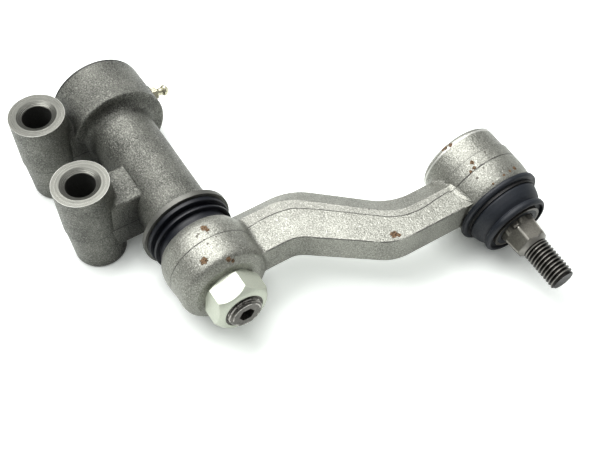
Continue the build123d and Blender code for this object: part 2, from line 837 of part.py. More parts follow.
# Lock nut: hexagon with a chamfered crown and a round collar
nut_corner_r = nut_across / sqrt(3)
with BuildPart() as nut:
    with BuildSketch(along(eye_seat)):
        RegularPolygon(nut_across / 2, 6, major_radius=False, rotation=nut_turn)
    extrude(amount=nut_hex_end - eye_seat)
    with BuildSketch(pivot_section):
        with BuildLine():
            Polyline(
                (eye_seat, 0),
                (eye_seat, nut_across / 2),
                (eye_seat + nut_face, nut_across / 2 + 0.2),
                (eye_seat + nut_face + nut_chamfer, nut_corner_r),
                (nut_hex_end - nut_chamfer, nut_corner_r),
                (nut_hex_end, nut_across / 2),
                (nut_hex_end, 0),
                close=True,
            )
        make_face()
    revolve(axis=pivot_axis, mode=Mode.INTERSECT)
    with BuildSketch(pivot_section):
        with BuildLine():
            Polyline(
                (nut_hex_end, 0),
                (nut_hex_end, nut_collar_d / 2),
                (nut_collar_end - nut_crown_r, nut_collar_d / 2),
                (nut_collar_end, nut_crown_d / 2),
                (nut_collar_end, 0),
                close=True,
            )
        make_face()
    revolve(axis=pivot_axis)
    with BuildSketch(pivot_section):
        ring(eye_seat, nut_collar_end, 0, shaft_thread_d + 2 * fit_clear)
        ring(insert_start, nut_collar_end, 0, insert_d)
    revolve(axis=pivot_axis, mode=Mode.SUBTRACT)
nut.part.label = "lock_nut"
export_step(nut.part, "parts/lock_nut.step")

# Locking ring in the nut's collar
with BuildPart() as insert:
    with BuildSketch(pivot_section):
        ring(insert_start, insert_end, shaft_thread_d + 2 * fit_clear, insert_d - 2 * fit_clear)
    revolve(axis=pivot_axis)
insert.part.label = "nut_insert"
export_step(insert.part, "parts/nut_insert.step")
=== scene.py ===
"""Looks of the idler arm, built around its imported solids. Metres, in the part's own frame."""

import math

import bmesh
import bpy
import numpy as np
from mathutils import Matrix, Vector


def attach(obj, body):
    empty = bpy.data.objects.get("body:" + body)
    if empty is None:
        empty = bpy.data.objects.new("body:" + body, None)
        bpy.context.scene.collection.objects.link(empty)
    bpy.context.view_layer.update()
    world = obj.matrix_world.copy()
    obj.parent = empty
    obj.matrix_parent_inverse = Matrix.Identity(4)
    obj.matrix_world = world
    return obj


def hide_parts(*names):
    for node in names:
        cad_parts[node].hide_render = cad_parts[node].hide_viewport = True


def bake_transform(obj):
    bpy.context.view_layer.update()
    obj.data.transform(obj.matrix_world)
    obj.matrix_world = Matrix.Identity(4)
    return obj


MM = 0.001

# Places in the part's frame, in millimetres; the bolt holes lie at BOSS_X on both sides of the origin
HEAD_RIM = Vector((-45.1, 39.5, -27.0))
BALL = Vector((111.9, 185.0, -29.9))
BALL_PITCH = math.radians(6.0)
BALL_YAW = math.radians(2.0)
BOSS_X = 26.5
SPLIT_Z = -30.5
FLOOR_Z = -55.6

# Camera, fitted to the object's round edges
CAMERA_PLACE = Vector((378.33, -87.42, 436.24))
CAMERA_RIGHT = Vector((0.52605577, 0.85043923, -0.00429335))
CAMERA_DOWN = Vector((0.68483905, -0.42660297, -0.59076677))
CAMERA_AHEAD = Vector((-0.5042428, 0.30783602, -0.80683095))
CAMERA_LENS = 67.51

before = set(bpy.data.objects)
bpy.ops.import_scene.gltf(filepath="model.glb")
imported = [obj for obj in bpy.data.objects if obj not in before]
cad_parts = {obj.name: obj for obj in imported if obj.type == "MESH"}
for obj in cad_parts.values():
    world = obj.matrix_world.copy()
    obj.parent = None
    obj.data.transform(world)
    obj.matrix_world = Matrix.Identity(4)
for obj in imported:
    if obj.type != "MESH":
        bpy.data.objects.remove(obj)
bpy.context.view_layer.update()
nodes = {obj.name: obj for obj in bpy.data.objects if obj.type == "MESH"}


def axes_frame(origin, along, up=Vector((0, 0, 1))):
    """Matrix whose local X is `along` and local Z leans to `up`, origin in millimetres."""
    x = along.normalized()
    y = up.cross(x).normalized()
    z = x.cross(y)
    m = Matrix((x, y, z)).transposed().to_4x4()
    m.translation = origin
    return m


PIVOT_FRAME = axes_frame(HEAD_RIM, Vector((1, 0, 0)))
STUD_OUT = Vector((math.cos(BALL_PITCH) * math.cos(BALL_YAW), math.cos(BALL_PITCH) * math.sin(BALL_YAW),
                   -math.sin(BALL_PITCH)))
BALL_FRAME = axes_frame(BALL, STUD_OUT)


# Mesh building: a radius that counts as none, and the share of a side that a rounded corner may take

ON_AXIS = 1e-6
CORNER_SHARE = 0.45


def sharpen(mesh, degrees):
    """Smooth shading with creases where faces meet at more than this angle."""
    bm = bmesh.new()
    bm.from_mesh(mesh)
    for edge in bm.edges:
        edge.smooth = len(edge.link_faces) == 2 and edge.calc_face_angle() < math.radians(degrees)
    for face in bm.faces:
        face.smooth = True
    bm.to_mesh(mesh)
    bm.free()


def add_mesh(name, points, faces, material, crease):
    """Object at the origin from points in millimetres."""
    mesh = bpy.data.meshes.new(name)
    mesh.from_pydata([Vector(p) * MM for p in points], [], faces)
    mesh.materials.append(material)
    bm = bmesh.new()
    bm.from_mesh(mesh)
    bmesh.ops.recalc_face_normals(bm, faces=bm.faces)
    bm.to_mesh(mesh)
    bm.free()
    sharpen(mesh, crease)
    obj = bpy.data.objects.new(name, mesh)
    bpy.context.scene.collection.objects.link(obj)
    return obj


def turned(name, frame, outline, material, around, crease, change=None, closed=False, first=0.0):
    """Body of revolution about the frame's X from (along, radius) points.

    `change` gives a radius from (along, radius, angle); a closed outline makes a hollow ring."""
    points, rows = [], []
    for along, radius in outline:
        if radius < ON_AXIS:
            rows.append([len(points)])
            points.append(frame @ Vector((along, 0, 0)))
            continue
        row = []
        for k in range(around):
            angle = first + 2 * math.pi * k / around
            r = change(along, radius, angle) if change else radius
            row.append(len(points))
            points.append(frame @ Vector((along, r * math.cos(angle), r * math.sin(angle))))
        rows.append(row)
    faces = []
    pairs = list(zip(rows, rows[1:])) + ([(rows[-1], rows[0])] if closed else [])
    for a, b in pairs:
        for k in range(around):
            j = (k + 1) % around
            if len(a) == 1:
                faces.append((a[0], b[k], b[j]))
            elif len(b) == 1:
                faces.append((a[k], b[0], a[j]))
            else:
                faces.append((a[k], b[k], b[j], a[j]))
    return add_mesh(name, points, faces, material, crease)


def resample(outline, step):
    """The same outline with extra points so that no span is longer than step."""
    out = [outline[0]]
    for a, b in zip(outline, outline[1:]):
        parts = max(1, math.ceil(math.dist(a, b) / step))
        for k in range(1, parts + 1):
            out.append((a[0] + (b[0] - a[0]) * k / parts, a[1] + (b[1] - a[1]) * k / parts))
    return out


def rounded(points, radius, steps=4):
    """Outline with each corner between its ends rounded by a short curve."""
    out = [points[0]]
    for before, here, after in zip(points, points[1:], points[2:]):
        p = Vector(here)
        a, b = Vector(before) - p, Vector(after) - p
        cut = min(radius, a.length * CORNER_SHARE, b.length * CORNER_SHARE)
        start, end = p + a.normalized() * cut, p + b.normalized() * cut
        for k in range(steps + 1):
            t = k / steps
            q = start * (1 - t) ** 2 + p * 2 * t * (1 - t) + end * t ** 2
            out.append((q.x, q.y))
    return out + [points[-1]]


# Node building


def feed(tree, socket, value):
    """A value, or another node's socket, into this input."""
    if isinstance(value, bpy.types.NodeSocket):
        tree.links.new(value, socket)
    else:
        socket.default_value = value


def put(tree, kind, settings=None, **inputs):
    """Node with its settings, and its inputs by name or, as i0, i1 and so on, by place."""
    made = tree.nodes.new(kind)
    for key, value in (settings or {}).items():
        setattr(made, key, value)
    for key, value in inputs.items():
        by_place = key[0] == "i" and key[1:].isdigit()
        feed(tree, made.inputs[int(key[1:]) if by_place else key.replace("_", " ")], value)
    return made


def maths(tree, operation, *values):
    """Result of one operation on numbers or sockets."""
    inputs = {f"i{k}": value for k, value in enumerate(values)}
    return put(tree, "ShaderNodeMath", {"operation": operation}, **inputs).outputs[0]


def times(tree, first, *others):
    """Product of numbers or sockets."""
    for other in others:
        first = maths(tree, "MULTIPLY", first, other)
    return first


def vector_maths(tree, operation, *values, output=0):
    """Result of one operation on vectors."""
    inputs = {f"i{k}": value for k, value in enumerate(values)}
    return put(tree, "ShaderNodeVectorMath", {"operation": operation}, **inputs).outputs[output]


def ramp(tree, value, low, high, to_low=0.0, to_high=1.0):
    """Smooth change from to_low at low to to_high at high; low may be the larger one."""
    return put(tree, "ShaderNodeMapRange", {"interpolation_type": "SMOOTHSTEP"}, Value=value, From_Min=low,
               From_Max=high, To_Min=to_low, To_Max=to_high).outputs[0]


def noise(tree, vector, scale, detail=2.0, roughness=0.5):
    """Noise between 0 and 1."""
    return put(tree, "ShaderNodeTexNoise", Vector=vector, Scale=scale, Detail=detail,
               Roughness=roughness).outputs[0]


def blend_colour(tree, factor, a, b):
    """Colour between two, each a socket or three numbers."""
    mix = put(tree, "ShaderNodeMix", {"data_type": "RGBA"})
    for index, value in ((0, factor), (6, a), (7, b)):
        feed(tree, mix.inputs[index], (*value, 1) if isinstance(value, tuple) else value)
    return mix.outputs[2]


def new_group(name, inputs, outputs, kind="ShaderNodeTree"):
    """Node group with named sockets; gives its tree, input node and output node."""
    tree = bpy.data.node_groups.new(name, kind)
    for label, socket_kind, value in inputs:
        socket = tree.interface.new_socket(label, in_out="INPUT", socket_type=socket_kind)
        if value is not None:
            socket.default_value = value
    for label, socket_kind in outputs:
        tree.interface.new_socket(label, in_out="OUTPUT", socket_type=socket_kind)
    return tree, tree.nodes.new("NodeGroupInput"), tree.nodes.new("NodeGroupOutput")


def use_group(tree, group, **inputs):
    """A node group placed in a material, with its inputs by name."""
    made = tree.nodes.new("ShaderNodeGroup")
    made.node_tree = group
    for key, value in inputs.items():
        feed(tree, made.inputs[key.replace("_", " ")], value)
    return made


# Shader groups


def make_grain_group():
    """Blasted or cast skin: height, tone, slow cloud and the brightest flecks."""
    tree, inp, out = new_group(
        "Blasted grain",
        [("Vector", "NodeSocketVector", None), ("Scale", "NodeSocketFloat", 1500.0)],
        [("Height", "NodeSocketFloat"), ("Tone", "NodeSocketFloat"), ("Cloud", "NodeSocketFloat"),
         ("Fleck", "NodeSocketFloat")])
    place, scale = inp.outputs["Vector"], inp.outputs["Scale"]
    fine = noise(tree, place, scale, 3.0, 0.65)
    coarse = noise(tree, place, times(tree, scale, 0.31))
    cloud = noise(tree, place, 45.0, 4.0, 0.6)
    tree.links.new(maths(tree, "ADD", fine, times(tree, coarse, 0.8)), out.inputs["Height"])
    tree.links.new(ramp(tree, fine, 0.3, 0.72), out.inputs["Tone"])
    tree.links.new(ramp(tree, cloud, 0.3, 0.7), out.inputs["Cloud"])
    tree.links.new(ramp(tree, fine, 0.6, 0.75), out.inputs["Fleck"])
    return tree


def make_spot_group():
    """Ragged spot round a centre, added to the spots so far."""
    tree, inp, out = new_group(
        "Spot",
        [("Vector", "NodeSocketVector", None), ("Centre", "NodeSocketVector", None),
         ("Radius", "NodeSocketFloat", 0.001), ("So far", "NodeSocketFloat", 0.0)],
        [("Mask", "NodeSocketFloat")])
    away = vector_maths(tree, "DISTANCE", inp.outputs["Vector"], inp.outputs["Centre"], output="Value")
    ragged = maths(tree, "MULTIPLY_ADD", noise(tree, inp.outputs["Vector"], 900.0, 3.0), 1.3, 0.35)
    share = maths(tree, "DIVIDE", away, times(tree, inp.outputs["Radius"], ragged))
    inside = maths(tree, "SUBTRACT", 1.0, ramp(tree, share, 0.75, 1.1))
    tree.links.new(maths(tree, "MAXIMUM", inside, inp.outputs["So far"]), out.inputs["Mask"])
    return tree


def make_seam_group():
    """Thin line where a distance is zero, broken up where the blasting rubbed it away."""
    tree, inp, out = new_group(
        "Seam",
        [("Vector", "NodeSocketVector", None), ("Distance", "NodeSocketFloat", 0.0),
         ("Width", "NodeSocketFloat", 0.0003), ("Where", "NodeSocketFloat", 1.0),
         ("So far", "NodeSocketFloat", 0.0)],
        [("Line", "NodeSocketFloat")])
    share = maths(tree, "DIVIDE", maths(tree, "ABSOLUTE", inp.outputs["Distance"]), inp.outputs["Width"])
    line = maths(tree, "SUBTRACT", 1.0, ramp(tree, share, 0.35, 1.0))
    worn = ramp(tree, noise(tree, inp.outputs["Vector"], 130.0, 3.0), 0.32, 0.5, 0.35, 1.0)
    here = times(tree, line, worn, inp.outputs["Where"])
    tree.links.new(maths(tree, "MAXIMUM", here, inp.outputs["So far"]), out.inputs["Line"])
    return tree


def make_turning_group():
    """Fine rings that a lathe tool or a facing cutter leaves, from a distance to its centre."""
    tree, inp, out = new_group(
        "Turning marks",
        [("Vector", "NodeSocketVector", None), ("Radius", "NodeSocketFloat", 0.0),
         ("Pitch", "NodeSocketFloat", 0.0006)],
        [("Height", "NodeSocketFloat"), ("Tone", "NodeSocketFloat")])
    turns = maths(tree, "DIVIDE", inp.outputs["Radius"], inp.outputs["Pitch"])
    wobble = times(tree, noise(tree, inp.outputs["Vector"], 90.0, 1.0), 1.5)
    rings = maths(tree, "SINE", times(tree, maths(tree, "ADD", turns, wobble), 2 * math.pi))
    bands = put(tree, "ShaderNodeTexNoise", {"noise_dimensions": "1D"}, W=times(tree, turns, 0.45),
                Scale=1.0, Detail=3.0).outputs[0]
    tree.links.new(rings, out.inputs["Height"])
    tree.links.new(ramp(tree, bands, 0.3, 0.7), out.inputs["Tone"])
    return tree


GRAIN = make_grain_group()
SPOT = make_spot_group()
SEAM = make_seam_group()
TURNING = make_turning_group()


# Materials: what they share, with half the length of a mask's soft end and how strong the painted shade in
# corners is

SOFT_END = 0.3
CREVICE_SHADE = 0.8


def new_material(name, colour, metallic, roughness):
    """Material with its tree, shader and Object coordinates."""
    material = bpy.data.materials.new(name)
    material.use_nodes = True
    tree = material.node_tree
    shader = tree.nodes["Principled BSDF"]
    shader.inputs["Base Color"].default_value = (*colour, 1)
    shader.inputs["Metallic"].default_value = metallic
    shader.inputs["Roughness"].default_value = roughness
    place = tree.nodes.new("ShaderNodeTexCoord").outputs["Object"]
    return material, tree, shader, place


def paint(tree, shader, colour, height, depth):
    """Colour and bump into the shader; the bump's depth in millimetres."""
    tree.links.new(colour, shader.inputs["Base Color"])
    bump = put(tree, "ShaderNodeBump", Strength=1.0, Distance=depth * MM, Height=height)
    tree.links.new(bump.outputs[0], shader.inputs["Normal"])


def grain_colour(tree, place, dark, light, scale, cloud):
    """Two tones mixed by the grain and a cloudy change; gives the colour and the grain's node."""
    grain = use_group(tree, GRAIN, Vector=place, Scale=scale)
    share = maths(tree, "ADD", times(tree, grain.outputs["Tone"], 1 - cloud),
                  times(tree, grain.outputs["Cloud"], cloud))
    return blend_colour(tree, share, dark, light), grain


def grained(name, dark, light, metallic, roughness, scale, depth):
    """Material with a sandy surface: two tones, a cloudy change and a bump."""
    material, tree, shader, place = new_material(name, light, metallic, roughness)
    colour, grain = grain_colour(tree, place, dark, light, scale, 0.35)
    paint(tree, shader, colour, grain.outputs["Height"], depth)
    return material


def spots_mask(tree, place, spots):
    """One mask from many spots, each a place and a radius in millimetres."""
    mask = 0.0
    for x, y, z, radius in spots:
        mask = use_group(tree, SPOT, Vector=place, Centre=Vector((x, y, z)) * MM, Radius=radius * MM,
                         So_far=mask).outputs[0]
    return mask


def split_place(tree, place):
    """X, Y and Z of the place."""
    return put(tree, "ShaderNodeSeparateXYZ", Vector=place).outputs


def between(tree, value, low, high):
    """1 inside a range in millimetres, with soft ends."""
    rise = ramp(tree, value, (low - SOFT_END) * MM, (low + SOFT_END) * MM)
    fall = ramp(tree, value, (high - SOFT_END) * MM, (high + SOFT_END) * MM, 1.0, 0.0)
    return times(tree, rise, fall)


def course_x(tree, y, points):
    """X of a line on the arm's top at this Y, from points measured at the head's rim and the pivot axis."""
    xs = [HEAD_RIM.x + p[0] for p in points]
    ys = [HEAD_RIM.y + p[1] for p in points]
    share = put(tree, "ShaderNodeMapRange", Value=y, From_Min=ys[0] * MM, From_Max=ys[-1] * MM).outputs[0]
    curve = put(tree, "ShaderNodeFloatCurve", Value=share)
    low, high = min(xs), max(xs)
    spline = curve.mapping.curves[0]
    spots = [((b - ys[0]) / (ys[-1] - ys[0]), (a - low) / (high - low)) for a, b in zip(xs, ys)]
    spline.points[0].location, spline.points[1].location = spots[0], spots[-1]
    for spot in spots[1:-1]:
        spline.points.new(*spot)
    curve.mapping.update()
    return put(tree, "ShaderNodeMapRange", Value=curve.outputs[0], To_Min=low * MM,
               To_Max=high * MM).outputs[0]


def along_stud(tree, place):
    """Offset from the ball's centre, and its distance along the stud's axis."""
    from_ball = vector_maths(tree, "SUBTRACT", place, BALL * MM)
    return from_ball, vector_maths(tree, "DOT_PRODUCT", from_ball, STUD_OUT, output="Value")


def boss_radius(tree, place):
    """Distance from the nearer bolt hole's axis."""
    x, y = split_place(tree, place)[:2]
    across = maths(tree, "SUBTRACT", maths(tree, "ABSOLUTE", x), BOSS_X * MM)
    return maths(tree, "SQRT", maths(tree, "ADD", times(tree, across, across), times(tree, y, y)))


def pivot_radius(tree, place):
    """Distance from the pivot axis."""
    y, z = split_place(tree, place)[1:]
    off = put(tree, "ShaderNodeCombineXYZ", Y=y, Z=z).outputs[0]
    axis = (0, HEAD_RIM.y * MM, HEAD_RIM.z * MM)
    return vector_maths(tree, "DISTANCE", off, axis, output="Value")


def paint_crevice_shade(tree, colour, reach, dark):
    """Painted shade in the corners, from how closed in the surface is within `reach` millimetres."""
    settings = {"samples": 2, "only_local": True}
    open_sky = put(tree, "ShaderNodeAmbientOcclusion", settings, Distance=reach * MM).outputs["AO"]
    closed_in = ramp(tree, open_sky, 0.80, 0.35)
    return blend_colour(tree, times(tree, closed_in, CREVICE_SHADE), colour, dark)


# Forged arm

FORGED_DARK, FORGED_LIGHT = (0.145, 0.146, 0.127), (0.50, 0.505, 0.448)
FORGED_METALLIC, FORGED_ROUGHNESS, FORGED_GRAIN = 0.7, 0.4, 1500.0
RUST_DARK, RUST_LIGHT = (0.045, 0.026, 0.012), (0.22, 0.130, 0.066)

# Lines on the forging's top, measured from the head's rim and the pivot axis: the dies' parting line and
# the trimmed edge
PARTING_COURSE = (
    (127.3, 23.6), (126.4, 35.5), (128.1, 47.3), (131.7, 53.4), (142.5, 67.4), (154.8, 82.3), (159.8, 89.0),
    (163.2, 100.8), (162.0, 116.0), (161.4, 122.8))
EDGE_COURSE = (
    (144.4, 20.0), (144.4, 37.0), (146.2, 43.2), (151.6, 51.0), (165.0, 69.0), (171.0, 77.5), (174.0, 87.0),
    (174.2, 96.0), (174.2, 124.0))
EYE_PARTING = 132.0
EYE_EDGE = 23.6
HOUSING_EDGE = 123.0
ARM_TOP_Z = -18.2

# Steps of the ball's housing along the stud's axis
BAND_EDGE = 3.2
BAND_BACK = -3.9
RIM_FRONT = -15.1
RIM_BACK = -16.5

# Rust and small dark pits, each with its radius
RUST = (
    (80.6, 39.8, -3.1, 1.9), (82.6, 40.6, -3.0, 1.2), (96.3, 31.2, -5.1, 2.1), (101.4, 41.6, -5.6, 1.6),
    (102.6, 43.6, -7.0, 1.1), (123.8, 122.7, -18.2, 2.3), (125.6, 124.4, -18.2, 1.3),
    (96.4, 172.4, -10.8, 2.1), (94.6, 170.4, -12.4, 1.4), (98.0, 175.4, -9.0, 1.5),
    (113.4, 177.3, -8.1, 1.2), (116.4, 176.4, -8.8, 1.1), (116.8, 174.2, -9.9, 0.9),
    (126.4, 194.9, -10.4, 1.3), (127.4, 191.0, -9.4, 0.8), (128.1, 186.5, -8.8, 0.8),
    (129.1, 179.0, -10.0, 0.7))
PITS = (
    (82.3, 35.9, -3.3, 0.7), (83.1, 34.7, -3.5, 0.8), (84.4, 40.1, -3.0, 0.6), (86.7, 36.7, -3.4, 0.5),
    (89.5, 37.0, -3.6, 0.6), (121.7, 174.6, -10.2, 0.8), (112.2, 186.3, -6.7, 0.6),
    (104.2, 120.9, -18.2, 0.6), (106.4, 124.6, -18.2, 0.6), (88.0, 42.5, -3.6, 0.5),
    (119.5, 180.0, -8.0, 0.6), (108.0, 190.5, -8.4, 0.5))


def forging_masks(tree, place):
    """Where the dies' lines are, with the painted shade of the band's back crease, the painted shade on the
    strip behind the parting line and the painted highlight on the housing's rear edge.
    """
    x, y, z = split_place(tree, place)
    along = along_stud(tree, place)[1]
    eye_y, housing_y = HEAD_RIM.y + EYE_EDGE, HEAD_RIM.y + HOUSING_EDGE
    top = ramp(tree, z, (ARM_TOP_Z - 0.6) * MM, (ARM_TOP_Z - 0.2) * MM)
    on_arm = times(tree, top, between(tree, y, eye_y, housing_y))
    on_eye = ramp(tree, y, eye_y * MM, (eye_y - 1) * MM)
    on_housing = ramp(tree, y, (housing_y - 1) * MM, housing_y * MM)
    # Distance to each line, its width in millimetres and where it runs; the band's back line is painted
    # shade in its crease
    parting = maths(tree, "SUBTRACT", x, course_x(tree, y, PARTING_COURSE))
    trimmed = maths(tree, "SUBTRACT", x, course_x(tree, y, EDGE_COURSE))
    round_eye = maths(tree, "SUBTRACT", x, (HEAD_RIM.x + EYE_PARTING) * MM)
    band_edge = maths(tree, "SUBTRACT", along, BAND_EDGE * MM)
    band_back_crease_shade = maths(tree, "SUBTRACT", along, BAND_BACK * MM)
    seam = 0.0
    lines = ((parting, 0.34, on_arm), (trimmed, 0.36, on_arm), (round_eye, 0.3, on_eye),
             (band_edge, 0.38, on_housing), (band_back_crease_shade, 0.22, on_housing))
    for distance, width, where in lines:
        seam = use_group(tree, SEAM, Vector=place, Distance=distance, Width=width * MM, Where=where,
                         So_far=seam).outputs[0]
    # Painted shade on the top's strip behind the parting line
    strip_shade_mask = times(tree, ramp(tree, parting, 0.3 * MM, -0.3 * MM), on_arm)
    # Painted highlight on the housing's rear rim
    rim_front = ramp(tree, along, RIM_FRONT * MM, (RIM_FRONT - 0.3) * MM)
    rim_back = ramp(tree, along, RIM_BACK * MM, (RIM_BACK + 0.4) * MM)
    return seam, strip_shade_mask, times(tree, rim_front, rim_back, on_housing)


def make_forged_arm():
    """Blasted forging with the dies' lines, a painted highlight on the housing's rear rim, painted shade in
    the corners, behind the parting line and in the band's back crease, pits and rust.
    """
    made = new_material("forged arm", FORGED_LIGHT, FORGED_METALLIC, FORGED_ROUGHNESS)
    material, tree, shader, place = made
    colour, grain = grain_colour(tree, place, FORGED_DARK, FORGED_LIGHT, FORGED_GRAIN, 0.25)
    seam, strip_shade_mask, rim_highlight = forging_masks(tree, place)
    rim_highlight_colour, strip_shade_colour, bright_fleck = (0.90, 0.90, 0.85), (0.26, 0.26, 0.235), (0.86, 0.86, 0.79)
    corner_shade, line_dirt, pit_dirt = (0.07, 0.07, 0.062), (0.05, 0.048, 0.043), (0.06, 0.05, 0.04)
    # Painted highlight along the housing's rear rim
    colour = blend_colour(tree, times(tree, rim_highlight, 0.75), colour, rim_highlight_colour)
    # Painted shade behind the parting line
    colour = blend_colour(tree, times(tree, strip_shade_mask, 0.35), colour, strip_shade_colour)
    colour = blend_colour(tree, times(tree, grain.outputs["Fleck"], 0.7), colour, bright_fleck)
    # Painted shade in the arm's corners and creases
    colour = paint_crevice_shade(tree, colour, 8.0, corner_shade)
    # Dark lines of the dies, with painted shade at the band's back crease
    colour = blend_colour(tree, times(tree, seam, 0.85), colour, line_dirt)
    pits = spots_mask(tree, place, PITS)
    colour = blend_colour(tree, times(tree, pits, 0.8), colour, pit_dirt)
    rust = spots_mask(tree, place, RUST)
    rust_patches = ramp(tree, noise(tree, place, 1400.0, 3.0), 0.35, 0.65)
    colour = blend_colour(tree, rust, colour, blend_colour(tree, rust_patches, RUST_DARK, RUST_LIGHT))
    bare = maths(tree, "SUBTRACT", 1.0, maths(tree, "MAXIMUM", rust, seam))
    tree.links.new(times(tree, bare, FORGED_METALLIC), shader.inputs["Metallic"])
    tree.links.new(maths(tree, "MULTIPLY_ADD", rust, 0.4, FORGED_ROUGHNESS), shader.inputs["Roughness"])
    height = maths(tree, "SUBTRACT", grain.outputs["Height"], times(tree, seam, 1.5))
    paint(tree, shader, colour, height, 0.22)
    return material


# Bracket


def make_cast_iron():
    """Sand-cast skin with the mould's parting line on the bosses and webs, and painted shade in its corners
    and in the pocket under the barrel.
    """
    dark, light, bright_fleck = (0.034, 0.035, 0.030), (0.305, 0.309, 0.272), (0.56, 0.56, 0.51)
    pocket_shade, corner_shade, line_dirt = (0.025, 0.026, 0.024), (0.02, 0.021, 0.019), (0.015, 0.015, 0.013)
    material, tree, shader, place = new_material("cast iron", light, 0.6, 0.5)
    colour, grain = grain_colour(tree, place, dark, light, 1350.0, 0.35)
    y, z = split_place(tree, place)[1:]
    off_body = ramp(tree, y, 24.5 * MM, 23.5 * MM)
    at_split = maths(tree, "SUBTRACT", z, SPLIT_Z * MM)
    seam = use_group(tree, SEAM, Vector=place, Distance=at_split, Width=0.6 * MM, Where=off_body).outputs[0]
    colour = blend_colour(tree, times(tree, grain.outputs["Fleck"], 0.6), colour, bright_fleck)
    # Painted shade in the pocket under the barrel
    below = ramp(tree, z, -12.0 * MM, -30.0 * MM)
    beside_bosses = ramp(tree, y, 6.0 * MM, 16.0 * MM)
    before_body = ramp(tree, y, 34.0 * MM, 22.0 * MM)
    pocket_shade_mask = times(tree, below, beside_bosses, before_body)
    colour = blend_colour(tree, times(tree, pocket_shade_mask, 0.6), colour, pocket_shade)
    # Painted shade in the bracket's corners
    colour = paint_crevice_shade(tree, colour, 9.0, corner_shade)
    colour = blend_colour(tree, times(tree, seam, 0.8), colour, line_dirt)
    tree.links.new(ramp(tree, grain.outputs["Tone"], 0.0, 1.0, 0.50, 0.32), shader.inputs["Roughness"])
    paint(tree, shader, colour, maths(tree, "SUBTRACT", grain.outputs["Height"], seam), 0.4)
    return material


def turned_metal(name, radius, dark, light, metallic, roughness, pitch=0.7, glint_edge=None):
    """Machined metal with rings about a centre, with a painted highlight at its outer edge where it has
    one.

    `radius` makes the distance's socket from the place; pitch and the highlighted edge are in millimetres."""
    material, tree, shader, place = new_material(name, light, metallic, roughness)
    away = radius(tree, place)
    marks = use_group(tree, TURNING, Vector=place, Radius=away, Pitch=pitch * MM)
    colour, grain = grain_colour(tree, place, dark, light, 2600.0, 0.4)
    colour = blend_colour(tree, times(tree, marks.outputs["Tone"], 0.45), colour, dark)
    if glint_edge:
        # Painted highlight along the edge, in place of a chamfer's glint
        worn = ramp(tree, away, (glint_edge - 0.3) * MM, (glint_edge - 0.1) * MM)
        colour = blend_colour(tree, times(tree, worn, 0.5), colour, (0.62, 0.62, 0.58))
    shine = ramp(tree, marks.outputs["Tone"], 0.0, 1.0, roughness - 0.05, roughness + 0.1)
    tree.links.new(shine, shader.inputs["Roughness"])
    height = maths(tree, "ADD", marks.outputs["Height"], grain.outputs["Height"])
    paint(tree, shader, colour, height, 0.012)
    return material


# Rubber


def make_seal_rubber():
    """Black, slightly oily rubber of the shaft's seal."""
    material, tree, shader, place = new_material("rubber", (0.012, 0.014, 0.018), 0.0, 0.36)
    colour, grain = grain_colour(tree, place, (0.004, 0.005, 0.008), (0.010, 0.012, 0.017), 1400.0, 0.5)
    shader.inputs["Specular IOR Level"].default_value = 0.35
    tree.links.new(ramp(tree, grain.outputs["Cloud"], 0.0, 1.0, 0.34, 0.5), shader.inputs["Roughness"])
    paint(tree, shader, colour, grain.outputs["Height"], 0.03)
    return material


def make_boot_rubber():
    """The boot's rubber, with the mould's fine rings along the stud's axis."""
    ring_pitch = 0.9
    material, tree, shader, place = new_material("boot rubber", (0.012, 0.014, 0.018), 0.0, 0.4)
    colour, grain = grain_colour(tree, place, (0.006, 0.008, 0.012), (0.017, 0.021, 0.028), 1400.0, 0.55)
    along = along_stud(tree, place)[1]
    rings = maths(tree, "SINE", times(tree, along, 2 * math.pi / (ring_pitch * MM)))
    worn = ramp(tree, noise(tree, place, 110.0, 3.0), 0.4, 0.65)
    height = maths(tree, "MULTIPLY_ADD", times(tree, rings, worn), 0.7, grain.outputs["Height"])
    shader.inputs["Specular IOR Level"].default_value = 0.4
    tree.links.new(ramp(tree, grain.outputs["Cloud"], 0.0, 1.0, 0.36, 0.55), shader.inputs["Roughness"])
    paint(tree, shader, colour, height, 0.04)
    return material


# Stud and shaft

TAPER_RATE = 1 / 8
HEX_START, HEX_END = 36.0, 46.2
HEX_CORNER_R = 10.0


def make_stud_steel():
    """Brownish phosphated steel, with the shank's corners rubbed bright under a painted highlight, a
    painted highlight on the thread's crests and painted shade in its roots.
    """
    material, tree, shader, place = new_material("stud steel", (0.2, 0.19, 0.165), 0.8, 0.36)
    colour, grain = grain_colour(tree, place, (0.11, 0.105, 0.088), (0.25, 0.24, 0.208), 1300.0, 0.6)
    from_ball, along = along_stud(tree, place)
    across = vector_maths(tree, "CROSS_PRODUCT", from_ball, STUD_OUT)
    radius = vector_maths(tree, "LENGTH", across, output="Value")
    # Radius as it would be where the hexagon starts, so that the taper's corners are found all along
    from_start = maths(tree, "SUBTRACT", along, HEX_START * MM)
    corner = maths(tree, "MULTIPLY_ADD", from_start, TAPER_RATE / math.sqrt(3), radius)
    rubbed_corner_glint = ramp(tree, corner, HEX_CORNER_R * MM, (HEX_CORNER_R + 0.4) * MM)
    on_shank = ramp(tree, along, (HEX_START - 0.5) * MM, (HEX_START + 0.5) * MM)
    # Corners rubbed bright, with a painted highlight along them
    colour = blend_colour(tree, times(tree, rubbed_corner_glint, on_shank, 0.8), colour, (0.62, 0.60, 0.54))
    # Painted highlight on the thread's crests and painted shade in its roots
    crest_glint = ramp(tree, radius, 6.6 * MM, 6.9 * MM)
    thread_glint_and_shade = blend_colour(tree, crest_glint, (0.016, 0.015, 0.013), (0.28, 0.27, 0.245))
    on_thread = ramp(tree, along, (HEX_END - 0.7) * MM, (HEX_END - 0.2) * MM)
    colour = blend_colour(tree, on_thread, colour, thread_glint_and_shade)
    tree.links.new(ramp(tree, grain.outputs["Cloud"], 0.0, 1.0, 0.3, 0.44), shader.inputs["Roughness"])
    paint(tree, shader, colour, grain.outputs["Height"], 0.06)
    return material


